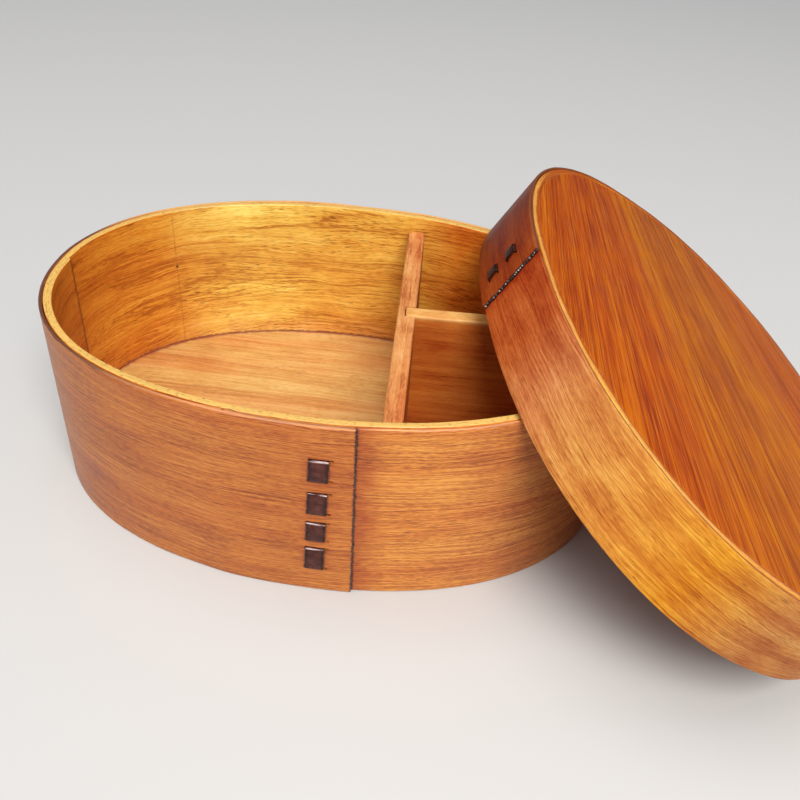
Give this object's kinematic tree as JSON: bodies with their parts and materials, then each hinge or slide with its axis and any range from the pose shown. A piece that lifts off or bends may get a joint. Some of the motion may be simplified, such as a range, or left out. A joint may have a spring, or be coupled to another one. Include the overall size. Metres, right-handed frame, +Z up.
{
  "type": "oval bentwood lunch box",
  "caption": "Oval bentwood lunch box with two loose dividers set as a T and a cover lid leaning over one end, both walls stitched with bark.",
  "frame": {"origin": "the middle of the box in plan, level with the table it stands on; the underside of its bottom board is 1.2 mm above", "axes": "+X along the box's long axis towards the end that the lid leans over, +Y away from the stitched front, +Z up"},
  "size_m": [0.2684, 0.1948, 0.0936],
  "materials": {
    "outer_board": "satin lacquer over thin bent softwood",
    "inner_board": "satin lacquer over thin bent softwood",
    "flat_board": "satin lacquer over straight-grained softwood",
    "divider_board": "satin lacquer over straight-grained softwood",
    "bark": "dark satin bark strip"
  },
  "bodies": {
    "box": {"box_outer_ply": "outer_board", "box_inner_ply": "inner_board", "box_bottom_board": "flat_board", "box_bark_lacing": "bark"},
    "cross_divider": {"cross_divider": "divider_board"},
    "short_divider": {"short_divider": "divider_board"},
    "lid": {"lid_outer_ply": "outer_board", "lid_inner_ply": "inner_board", "lid_top_board": "flat_board", "lid_bark_lacing": "bark"}
  },
  "joints": [
    {"name": "lid_lift", "type": "slide", "parent": "box", "child": "lid", "axis": [0, 0, 1], "range_m": [0, 0.12]},
    {"name": "cross_divider_lift", "type": "slide", "parent": "box", "child": "cross_divider", "axis": [0, 0, 1], "range_m": [0, 0.07]},
    {"name": "short_divider_lift", "type": "slide", "parent": "box", "child": "short_divider", "axis": [0, 0, 1], "range_m": [0, 0.008]}
  ]
}
